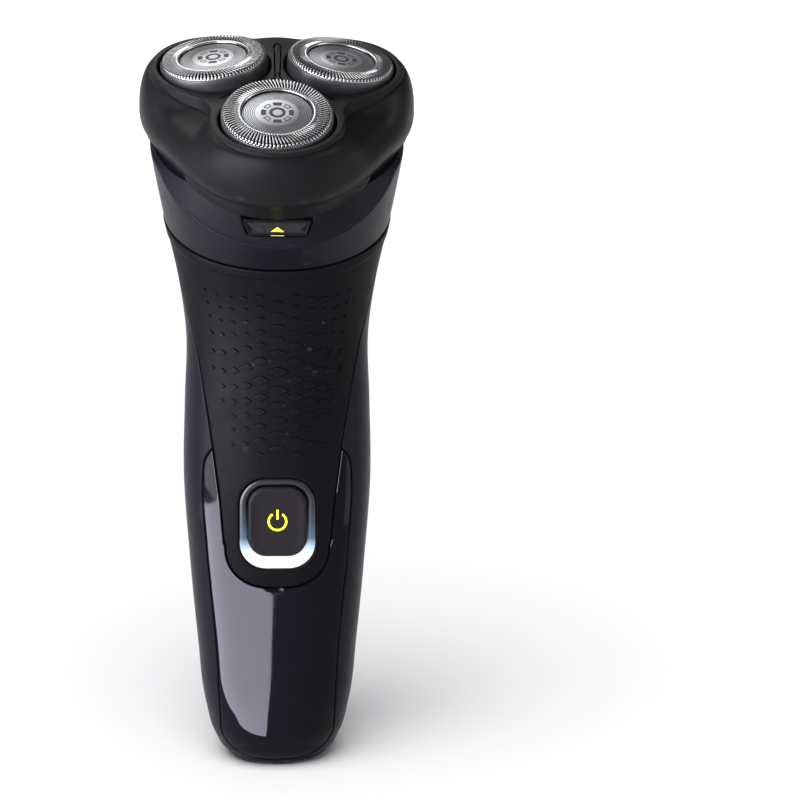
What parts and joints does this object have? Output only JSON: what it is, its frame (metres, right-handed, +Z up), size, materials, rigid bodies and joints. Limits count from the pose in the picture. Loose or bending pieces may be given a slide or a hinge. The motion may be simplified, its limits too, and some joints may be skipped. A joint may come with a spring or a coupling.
{
  "type": "rotary electric shaver",
  "caption": "Handheld rotary shaver: waisted grip handle with power button, hinged flip-up shaving unit with floating round caps over spinning cutters.",
  "frame": {"origin": "centre of the small flat base that the shaver stands on", "axes": "+Z up the handle towards the shaving unit, -Y the thumb side with the power button, +X to the right seen from the front"},
  "size_m": [0.061, 0.0648, 0.1701],
  "materials": {
    "satin_body": "satin purple-black",
    "grip": "matte, raised diamond pattern",
    "gloss_panel": "piano gloss",
    "unit_plastic": "satin black",
    "inner_plastic": "moulded grey",
    "gear_plastic": "natural acetal",
    "cap_plastic": "satin grey",
    "button_plastic": "satin",
    "light_guide": "frosted clear",
    "board": "solder mask",
    "steel": "brushed",
    "brass": "plain",
    "cell": "sleeved"
  },
  "bodies": {
    "handle": {"rear_shell": "satin_body", "front_grip": "grip", "gloss_panel": "gloss_panel", "inner_frame": "inner_plastic", "battery_cell": "cell", "circuit_board": "board", "tact_switch": "inner_plastic", "status_led": "light_guide", "light_ring": "light_guide", "charging_socket": "inner_plastic", "socket_pin_1": "brass", "socket_pin_2": "brass", "board_screw_1": "steel", "board_screw_2": "steel", "board_screw_3": "steel", "board_screw_4": "steel", "hair_chamber": "satin_body", "motor_plate": "inner_plastic", "motor_can": "steel", "motor_screw_1": "steel", "motor_screw_2": "steel", "drive_cover": "inner_plastic", "hinge_pin": "steel"},
    "power_button": {"power_button": "button_plastic"},
    "release_button": {"release_button": "button_plastic"},
    "rotor": {"motor_shaft": "steel", "centre_gear": "gear_plastic"},
    "gear_1": {"drive_gear_1": "gear_plastic"},
    "gear_2": {"drive_gear_2": "gear_plastic"},
    "gear_3": {"drive_gear_3": "gear_plastic"},
    "spindle_1": {"drive_spindle_1": "cap_plastic"},
    "spindle_2": {"drive_spindle_2": "cap_plastic"},
    "spindle_3": {"drive_spindle_3": "cap_plastic"},
    "shaving_unit": {"top_frame": "unit_plastic", "retaining_frame": "inner_plastic"},
    "cap_1": {"cap_holder_1": "cap_plastic", "cap_guard_1": "steel", "cap_trim_1": "steel"},
    "cap_2": {"cap_holder_2": "cap_plastic", "cap_guard_2": "steel", "cap_trim_2": "steel"},
    "cap_3": {"cap_holder_3": "cap_plastic", "cap_guard_3": "steel", "cap_trim_3": "steel"},
    "cutter_1": {"cutter_1": "steel"},
    "cutter_2": {"cutter_2": "steel"},
    "cutter_3": {"cutter_3": "steel"}
  },
  "joints": [
    {"name": "power_press", "type": "slide", "parent": "handle", "child": "power_button", "axis": [0, 1, 0], "range_m": [0, 0.0006], "stiffness_N_per_m": 150, "springref_m": -0.001},
    {"name": "release_press", "type": "slide", "parent": "handle", "child": "release_button", "axis": [0, 0.8829, 0.4695], "range_m": [0, 0.0012], "stiffness_N_per_m": 80, "springref_m": -0.0015},
    {"name": "unit_flip", "type": "hinge", "parent": "handle", "child": "shaving_unit", "pos_m": [0, 0.01737, 0.15878], "axis": [-1, 0, 0], "range_deg": [0, 75]},
    {"name": "motor_spin", "type": "hinge", "parent": "handle", "child": "rotor", "pos_m": [0, -0.0145, 0.1595], "axis": [0, -0.4695, 0.8829], "continuous": true},
    {"name": "gear_spin_1", "type": "hinge", "parent": "handle", "child": "gear_1", "pos_m": [0, -0.0281, 0.15227], "axis": [0, -0.4695, 0.8829], "continuous": true},
    {"name": "gear_spin_2", "type": "hinge", "parent": "handle", "child": "gear_2", "pos_m": [0.01334, -0.0077, 0.16312], "axis": [0, -0.4695, 0.8829], "continuous": true},
    {"name": "gear_spin_3", "type": "hinge", "parent": "handle", "child": "gear_3", "pos_m": [-0.01334, -0.0077, 0.16312], "axis": [0, -0.4695, 0.8829], "continuous": true},
    {"name": "spindle_slide_1", "type": "slide", "parent": "gear_1", "child": "spindle_1", "axis": [0, 0.4695, -0.8829], "range_m": [0, 0.0012]},
    {"name": "spindle_slide_2", "type": "slide", "parent": "gear_2", "child": "spindle_2", "axis": [0, 0.4695, -0.8829], "range_m": [0, 0.0012]},
    {"name": "spindle_slide_3", "type": "slide", "parent": "gear_3", "child": "spindle_3", "axis": [0, 0.4695, -0.8829], "range_m": [0, 0.0012]},
    {"name": "head_flex_1", "type": "slide", "parent": "shaving_unit", "child": "cap_1", "axis": [0, 0.5878, -0.809], "range_m": [0, 0.0012], "stiffness_N_per_m": 250, "springref_m": -0.002},
    {"name": "head_flex_2", "type": "slide", "parent": "shaving_unit", "child": "cap_2", "axis": [-0.1205, 0.4035, -0.907], "range_m": [0, 0.0012], "stiffness_N_per_m": 250, "springref_m": -0.002},
    {"name": "head_flex_3", "type": "slide", "parent": "shaving_unit", "child": "cap_3", "axis": [0.1205, 0.4035, -0.907], "range_m": [0, 0.0012], "stiffness_N_per_m": 250, "springref_m": -0.002},
    {"name": "cutter_spin_1", "type": "hinge", "parent": "cap_1", "child": "cutter_1", "pos_m": [0, -0.02863, 0.15199], "axis": [0, -0.5878, 0.809], "continuous": true},
    {"name": "cutter_spin_2", "type": "hinge", "parent": "cap_2", "child": "cutter_2", "pos_m": [0.01386, -0.00744, 0.16326], "axis": [0.1205, -0.4035, 0.907], "continuous": true},
    {"name": "cutter_spin_3", "type": "hinge", "parent": "cap_3", "child": "cutter_3", "pos_m": [-0.01386, -0.00744, 0.16326], "axis": [-0.1205, -0.4035, 0.907], "continuous": true}
  ],
  "couplings": [
    {"joint": "gear_spin_1", "follows": "motor_spin", "ratio": -1.5},
    {"joint": "gear_spin_2", "follows": "motor_spin", "ratio": -1.5},
    {"joint": "gear_spin_3", "follows": "motor_spin", "ratio": -1.5},
    {"joint": "cutter_spin_1", "follows": "motor_spin", "ratio": -1.5},
    {"joint": "cutter_spin_2", "follows": "motor_spin", "ratio": -1.5},
    {"joint": "cutter_spin_3", "follows": "motor_spin", "ratio": -1.5},
    {"joint": "spindle_slide_1", "follows": "head_flex_1", "ratio": 1},
    {"joint": "spindle_slide_2", "follows": "head_flex_2", "ratio": 1},
    {"joint": "spindle_slide_3", "follows": "head_flex_3", "ratio": 1}
  ]
}
